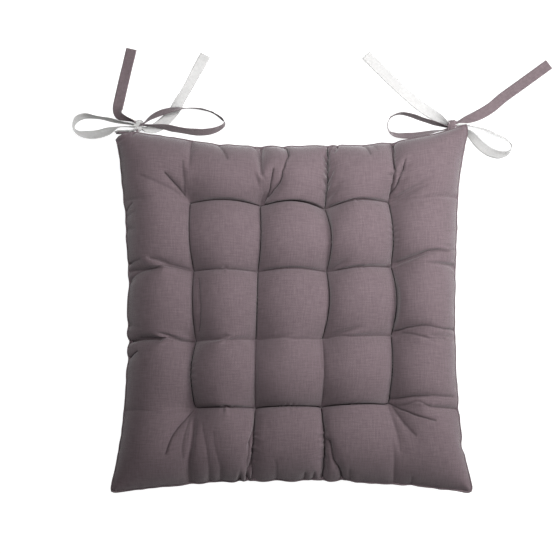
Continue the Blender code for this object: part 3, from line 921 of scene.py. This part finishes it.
def seam_edges(creases, folds, rng):
    """Each side of the seam: its axis, its sign, its points, and how far its creases draw it in."""
    edges = []
    for axis in (0, 1):
        for end, sign in ((0, -1), (-1, 1)):
            side = (slice(None), end) if axis == 0 else (slice(None), slice(None), end)
            notch = folds[side[1:]] * NOTCH + creases[side[1:]] * SCALLOP
            notch = np.convolve(notch, np.hanning(7) / 3, "same")
            edges.append((axis, sign, side, notch + smooth_noise(len(notch), 3, rng) * SEAM_WAVE))
    return edges


def hold_tufts(x, columns, rows):
    for row, line in zip(rows, TUFTS):
        for column, place in zip(columns, line):
            x[0, column, row] = (*place, TUFT_TOP)
            x[1, column, row] = (*place, TUFT_BOTTOM)


def hold_creases(x, points, filling, guide):
    """Guides the creases between tufts towards their bows, and the top cover on to the filling."""
    (ci, cj, ai, aj, bi, bj), (share, bow_x, bow_y, depth) = points
    arch = (4 * share * (1 - share))[:, None]
    start, end = x[0, ai, aj, :2], x[0, bi, bj, :2]
    aim = start + (end - start) * share[:, None] + np.stack([bow_x, bow_y], -1) * arch
    x[0, ci, cj, :2] += (aim - x[0, ci, cj, :2]) * (guide * depth)[:, None]
    x[0, ci, cj, 2] += (filling[ci - 1, cj - 1] - x[0, ci, cj, 2]) * CREASE_HOLD * depth ** 3
    top = x[0, 1:-1, 1:-1, 2]
    np.maximum(top, filling, out=top)


def hold_seam(x, edges):
    """Keeps the two covers' edges together and near the outline, and puts the corners in place."""
    for axis, sign, side, notch in edges:
        line = x[side].mean(0)
        out = reach(axis, sign, line[:, 1 - axis]) - notch
        line[:, axis] = sign * np.clip(sign * line[:, axis], out - SLACK_IN, out + SLACK_OUT)
        line[:, :2] = turned_corner(line[:, :2])
        line[:, 2] = np.clip(line[:, 2], SEAM_LOW, SEAM_HIGH)
        x[side] = line
    for i, inner in ((0, 1), (-1, -2)):
        for j in (0, -1):
            signs = (1 if i else -1), (1 if j else -1)
            tip = np.array([[sign * TIP + move for sign, move in zip(signs, CORNER_SHIFTS[signs])]])
            x[:, i, j, :2] = turned_corner(tip)
            x[:, i, j, 2] = x[:, inner, j, 2].mean()


def hold_underside(x):
    """Keeps the underside inside the seam and above the table."""
    wide = x.shape[1] // BELLY_STRIP
    for axis, sign, strip in ((0, -1, np.s_[1, 1:wide]), (0, 1, np.s_[1, -wide:-1]),
                              (1, -1, np.s_[1, :, 1:wide]), (1, 1, np.s_[1, :, -wide:-1])):
        belly = x[strip]
        out = reach(axis, sign, belly[..., 1 - axis]) - BELLY_INSIDE
        belly[..., axis] = sign * np.minimum(sign * belly[..., axis], out)
    np.maximum(x[..., 2], TABLE, out=x[..., 2])


def outward(x, thread):
    """The direction that the filling pushes each inner point, scaled by how open the weave is there."""
    du = x[:, 2:, 1:-1] - x[:, :-2, 1:-1]
    dv = x[:, 1:-1, 2:] - x[:, 1:-1, :-2]
    normal = np.cross(du, dv) / (4 * thread * thread)
    normal[1] *= -1
    return normal


def sew_and_stuff(shape, steps, passes, pressure, fold, guide, seed):
    """Cloth simulation by position-based dynamics: stiff threads, pressure, tufts and a table.

    fold is how stiffly the cloth resists folding, and guide how firmly its creases are led.
    """
    x = shape.astype(np.float32)
    count = x.shape[1]
    thread = FLAT / (count - 1)
    columns, rows = ([round((place + FLAT / 2) / thread) for place in line]
                     for line in (COLUMNS_FLAT, ROWS_FLAT))
    points = crease_points(count, columns, rows)
    creases, folds = (ditches(count, routes, DITCH_NARROWEST) for routes in (crease_routes(), fold_routes()))
    filling = filling_height(count, creases, folds).astype(np.float32)[1:-1, 1:-1]
    press = np.ones((2, count - 2, count - 2, 1), np.float32) * pressure
    press[0] *= 1 - CREASE_SLACK * creases[1:-1, 1:-1, None] - FOLD_SLACK * folds[1:-1, 1:-1, None]
    edge_thread = np.ones((2, count, 1), np.float32)
    edge_thread[:, (0, -1)] = SEAM_GATHER
    before = x.copy()
    rng = np.random.default_rng(seed)
    x[:, 1:-1, 1:-1, 2] += rng.normal(0, thread * START_NOISE, (2, count - 2, count - 2)).astype(np.float32)
    edges = seam_edges(creases, folds, rng)
    for _ in range(steps):
        push = outward(x, thread) * press
        speed = (x - before) * DAMPING
        before = x.copy()
        x += speed
        x[:, 1:-1, 1:-1] += push
        for _ in range(passes):
            stretch_back(x, thread, edge_thread, fold)
            hold_tufts(x, columns, rows)
            hold_creases(x, points, filling, guide)
            hold_seam(x, edges)
            hold_underside(x)
    return x


def resampled(sheet, factor):
    """The same surface with its threads' spacing divided by a whole number, on smooth curves."""
    for axis in (0, 1):
        old = np.moveaxis(sheet, axis, 0)
        ends = np.concatenate([2 * old[:1] - old[1:2], old, 2 * old[-1:] - old[-2:-1]])
        new = np.empty((factor * (len(old) - 1) + 1, *old.shape[1:]), old.dtype)
        new[-1] = old[-1]
        for k in range(factor):
            new[k:-1:factor] = between(ends[:-3], ends[1:-2], ends[2:-1], ends[3:], k / factor)
        sheet = np.moveaxis(new, 0, axis)
    return np.ascontiguousarray(sheet)


def normals(sheet):
    return unit(np.cross(np.gradient(sheet, axis=0), np.gradient(sheet, axis=1)))


def pinch(sheet, route, strength):
    """Draws the cloth on both sides of a route over the flat cover together in plan."""
    count = len(sheet)
    index = nearest_thread(route, count)
    low = np.clip(index.min(0) - PINCH_REACH, 0, count)
    high = np.clip(index.max(0) + PINCH_REACH + 1, 0, count)
    near = np.s_[low[0]:high[0], low[1]:high[1]]
    u, v = (grid[near] for grid in flat_grid(count))
    nearest, aim = np.full_like(u, FLAT), np.zeros((*u.shape, 2))
    places = [sheet[i, j, :2] for i, j in index]
    for a, b, start, end in zip(route, route[1:], places, places[1:]):
        share, gap = beside(u, v, a, b)
        closer = gap < nearest
        nearest[closer] = gap[closer]
        aim[closer] = (start + (end - start) * share[..., None])[closer]
    weight = strength * np.exp(-(nearest / PINCH_WIDE) ** 2)
    sheet[near][..., :2] += (aim - sheet[near][..., :2]) * weight[..., None]


def pressed_creases(sheet):
    """Presses sharp bottoms into the valleys of the simulated top cover.

    Also returns how much painted shade each point gets along a crease or fold, from 0 to 1.
    """
    count = len(sheet)
    creases, folds = (
        [(depth, width, valley_route(route, sheet[..., 2], wander)) for depth, width, route in routes]
        for routes, wander in ((crease_routes(), CREASE_WANDER), (fold_routes(), FOLD_WANDER)))
    sheet = sheet.copy()
    for depth, _, route in creases + folds:
        pinch(sheet, route, PINCH * depth ** 2)
    slots = [ditches(count, *kind) for kind in zip((creases, folds), SLOT_NARROWEST, SLOT_SHARPNESS)]
    depth = CREASE_SLOT * slots[0] ** 2 + FOLD_SLOT * slots[1] ** 2
    depth *= 1 - near_tufts(*flat_grid(count), SLOT_CLEARANCE)
    depth[:2], depth[-2:], depth[:, :2], depth[:, -2:] = 0, 0, 0, 0
    down = unit(normals(sheet) + UP)
    # painted shade for the cover's colour, strongest along the creases and folds
    shades = [ditches(count, *kind, TUCK_SHARPNESS) for kind in zip((creases, folds), TUCK_NARROWEST)]
    crease_shade = CREASE_SHADING * shades[0] ** 2 + FOLD_SHADING * shades[1] ** 1.5
    return sheet - down * depth[..., None], np.minimum(crease_shade, 1)


def smooth_seam(shape):
    """Evens out the seam's smallest kinks."""
    for side in (np.s_[:, 0], np.s_[:, -1], np.s_[:, :, 0], np.s_[:, :, -1]):
        line = shape[side]
        for _ in range(3):
            line[:, 1:-1] = (line[:, :-2] + 2 * line[:, 1:-1] + line[:, 2:]) / 4
        shape[side] = line
    return shape


def stuffed_covers():
    """The simulated covers: the top one on a finer grid than the underside."""
    shape = first_shape(COARSE)
    shape = sew_and_stuff(shape, steps=160, passes=6, pressure=0.00012, fold=0.05, guide=0.15, seed=11)
    fine = np.stack([resampled(sheet, 2) for sheet in shape])
    fine = sew_and_stuff(fine, steps=60, passes=6, pressure=0.00004, fold=0.03, guide=0.08, seed=12)
    fine = smooth_seam(fine)
    top, crease_shade = pressed_creases(resampled(fine[0], 3)[::2, ::2])
    return top, fine[1], crease_shade


def grid_faces(count, upward):
    """The faces of a square sheet of points, facing up or down."""
    faces = []
    for i in range(count - 1):
        for j in range(count - 1):
            a, b = i * count + j, (i + 1) * count + j
            ring = (a, b, b + 1, a + 1)
            faces.append(ring if upward else ring[::-1])
    return faces


def cover_mesh(name, sheet, material, upward):
    count = len(sheet)
    flat = np.stack(flat_grid(count), -1).reshape(-1, 2)
    return add_mesh(name, sheet.reshape(-1, 3), grid_faces(count, upward), material, flat)


def outline_of(sheet):
    """A sheet's edge points in order, from the front left corner and round by the right."""
    return np.concatenate([sheet[:-1, 0], sheet[-1, :-1], sheet[:0:-1, -1], sheet[0, :0:-1]])


WAD_GAP = 0.0015  # between the wadding and the covers


def make_filling(top, bottom, material):
    """The wadding: the space between the covers, a little inside them."""
    inside = np.s_[2:-2, 2:-2]
    step = (len(bottom) - 1) // (COARSE - 1)
    under = (bottom + normals(bottom) * WAD_GAP)[::step, ::step][inside]
    step = (len(top) - 1) // (COARSE - 1)
    over = top - normals(top) * WAD_GAP
    lowest = over[..., 2].copy()
    for axis in (0, 1):
        lowest = np.minimum.reduce([np.roll(lowest, k, axis) for k in range(-2 * step, 2 * step + 1)])
    over[..., 2] = lowest
    over = over[::step, ::step][inside]
    over[..., 2] = np.maximum(over[..., 2], under[..., 2] + WAD_GAP)
    count = len(over)
    vertices = np.concatenate([over.reshape(-1, 3), under.reshape(-1, 3)])
    low = count * count
    faces = grid_faces(count, True) + [tuple(low + k for k in face) for face in grid_faces(count, False)]
    ring = outline_of(np.arange(low).reshape(count, count))
    for a, b in zip(ring, np.roll(ring, -1)):
        faces.append((int(a), int(a) + low, int(b) + low, int(b)))
    wad = add_mesh("pad_filling", vertices, faces, material)
    return place_piece(wad, "fibre_wadding", "filling")


def tube(path, radius, sides):
    """Vertices and faces of a round tube along an open path, with both ends capped."""
    ahead = unit(np.concatenate([path[1:2] - path[:1], path[2:] - path[:-2], path[-1:] - path[-2:-1]]))
    side = unit(np.cross(ahead, (0.0, 0.3, 1.0)))
    up = np.cross(side, ahead)
    turns = np.linspace(0, 2 * math.pi, sides, endpoint=False)[:, None]
    rings = path[:, None] + radius * (side[:, None] * np.cos(turns) + up[:, None] * np.sin(turns))
    return rings.reshape(-1, 3), band_faces(len(path), sides)


def merged(parts):
    """Several meshes' vertices and faces as one."""
    vertices, faces, start = [], [], 0
    for some, rings in parts:
        vertices.append(some)
        faces += [tuple(start + k for k in face) for face in rings]
        start += len(some)
    return np.concatenate(vertices), faces


SEAM_SEED = 21
SEAM_STITCH = 0.0032  # from one stitch to the next
SEAM_LIP = 0.0012  # how far the turned edge stands out past the stitches
LIP_WAVE = 0.0009  # how far the lip's edge waves up and down
# The upper half of a section across the lip, from its root: how far out, and how far above its middle.
LIP_HALF = ((-0.0026, 0.0009), (0.0, 0.0011), (SEAM_LIP * 0.8, 0.0008), (SEAM_LIP, 0.0))
STITCH_OUT = 0.35  # where on the lip the stitches run
STITCH_RADIUS = 0.00026
# Along one stitch: the share of the way from the last to the next, and how far it stands off the lip.
STITCH_LINE = ((0.08, 0.00075), (0.3, 0.00126), (0.5, 0.00135), (0.7, 0.00126), (0.92, 0.00075))


def seam_ring(top):
    """Points round the seam, and the level direction outwards at each."""
    ring = outline_of(top)[::2]
    return ring, unit(np.cross(np.roll(ring, -1, 0) - np.roll(ring, 1, 0), UP))


def make_seam(top, material):
    """The turned edge where the covers meet: a thin lip of cloth."""
    ring, out = seam_ring(top)
    wave = smooth_noise(len(ring), 3, np.random.default_rng(SEAM_SEED)) * LIP_WAVE
    profile = LIP_HALF + tuple((outwards, -rise) for outwards, rise in LIP_HALF[-2::-1])
    rows = []
    for outwards, rise in profile:
        row = ring + out * outwards
        row[:, 2] += rise + wave * max(outwards / SEAM_LIP, 0)
        rows.append(row)
    count, sides = len(ring), len(profile)
    faces = []
    for i in range(count):
        j = (i + 1) % count
        for k in range(sides):
            m = (k + 1) % sides
            faces.append((i * sides + k, j * sides + k, j * sides + m, i * sides + m))
    flat = np.stack(np.meshgrid(run_along(ring), np.arange(sides) * SEAM_LIP, indexing="ij"), -1)
    lip = add_mesh("pad_seam_lip", np.stack(rows, 1).reshape(-1, 3), faces, material, flat.reshape(-1, 2))
    place_piece(lip, "taupe_cotton", "seam_stitching")


def make_stitches(top, thread):
    """The seam's stitches: short threads along the lip, above and below it."""
    ring, out = seam_ring(top)
    ring = ring + out * SEAM_LIP * STITCH_OUT
    around = np.vstack([ring, ring[:1]])
    run = run_along(around)
    shares, lifts = np.array(STITCH_LINE).T
    parts = []
    for k in range(int(run[-1] / SEAM_STITCH)):
        places = (k + shares) * SEAM_STITCH
        line = np.stack([np.interp(places, run, around[:, axis]) for axis in range(3)], 1)
        for side in (1, -1):
            parts.append(tube(line + np.outer(side * lifts, UP), STITCH_RADIUS, 5))
    stitches = add_mesh("pad_seam_stitches", *merged(parts), thread)
    place_piece(stitches, "taupe_thread", "seam_stitching")


TUFT_SEED = 31
TACK_LOOPS = 5
TACK_LENGTH = 0.0052
TACK_SPACING = 0.00042
TACK_RADIUS = 0.00034
TACK_POINTS = 9
TACK_LIFT = 0.0013  # how high the middle of a loop stands over its cover, at the tuft
TACK_DIP = 0.0052  # how fast its ends sink into the cloth
STRAND_RADIUS = 0.0004
STRAND_TURNS = 5


def make_tuft_thread(name, place, thread, rng):
    """One tuft's thread: a post through the pad, and a few turns of thread drawn tight on each cover."""
    parts = []
    lean = rng.uniform(0, math.pi)
    t = np.linspace(-0.5, 0.5, TACK_POINTS)[:, None]
    for level, side in ((TUFT_TOP, 1), (TUFT_BOTTOM, -1)):
        for loop in range(TACK_LOOPS):
            angle = lean + rng.normal(0, 0.22)
            along = np.array([math.cos(angle), math.sin(angle)])
            across = np.array([-along[1], along[0]]) * (loop - (TACK_LOOPS - 1) / 2) * TACK_SPACING
            line = np.array(place) + across + t * along * TACK_LENGTH * rng.uniform(0.8, 1.1)
            lift = TACK_LIFT - TACK_DIP * t ** 2 + STRAND_RADIUS / 2 * (loop % 2)
            parts.append(tube(np.hstack([line, level + side * lift]), TACK_RADIUS, 6))
    t = np.linspace(0, 1, 30)
    z = TUFT_BOTTOM - 2 * STRAND_RADIUS + (TUFT_TOP - TUFT_BOTTOM + 4 * STRAND_RADIUS) * t
    for strand in range(2):
        turn = 2 * math.pi * (t * STRAND_TURNS + strand / 2)
        x, y = place[0] + STRAND_RADIUS * np.cos(turn), place[1] + STRAND_RADIUS * np.sin(turn)
        parts.append(tube(np.stack([x, y, z], 1), STRAND_RADIUS, 6))
    return add_mesh(name, *merged(parts), thread)


def make_pad(taupe, off_white, wadding, thread):
    top, bottom, crease_shade = stuffed_covers()
    over = cover_mesh("pad_top_cover", top, taupe, True)
    # the creases' painted shade, which darkens the cover's colour in its material
    layer = over.data.attributes.new("crease_shade", "FLOAT", "POINT")
    layer.data.foreach_set("value", crease_shade.ravel().astype(np.float32))
    place_piece(over, "taupe_cotton", "top_cover")
    under = cover_mesh("pad_bottom_cover", bottom, off_white, False)
    place_piece(under, "off_white_cotton", "bottom_cover")
    make_filling(top, bottom, wadding)
    make_seam(top, taupe)
    make_stitches(top, thread)
    rng = np.random.default_rng(TUFT_SEED)
    for row, line in enumerate(reversed(TUFTS), start=1):
        for column, place in enumerate(line, start=1):
            piece = make_tuft_thread(f"tuft_thread_r{row}c{column}", place, thread, rng)
            place_piece(piece, "taupe_thread", f"tuft_stitch_r{row}c{column}")


def main():
    make_camera()
    make_studio()
    taupe_cotton = woven("taupe_cotton", (0.090, 0.063, 0.072), (0.172, 0.129, 0.143), pitch=0.0009,
                         roughness=0.85, sheen=0.35, slub=0.012, mottling=0.12)
    white_cotton = woven("off_white_cotton", (0.62, 0.60, 0.575), (0.80, 0.785, 0.76), pitch=0.0009,
                         roughness=0.85, sheen=0.2, slub=0.012, mottling=0.10)
    taupe_tape = woven("taupe_tape", (0.10, 0.075, 0.082), (0.20, 0.155, 0.168), pitch=0.0008,
                       roughness=0.8, sheen=0.3, slub=0.006, mottling=0.1)
    white_tape = woven("off_white_tape", (0.43, 0.426, 0.422), (0.60, 0.597, 0.592), pitch=0.0008,
                       roughness=0.8, sheen=0.2, slub=0.006, mottling=0.1)
    wadding = fibre("fibre_wadding", (0.86, 0.855, 0.84))
    make_ties(taupe_tape, white_tape)
    thread = twisted_thread("taupe_thread", (0.085, 0.062, 0.068), (0.17, 0.13, 0.143))
    make_pad(taupe_cotton, white_cotton, wadding, thread)


main()
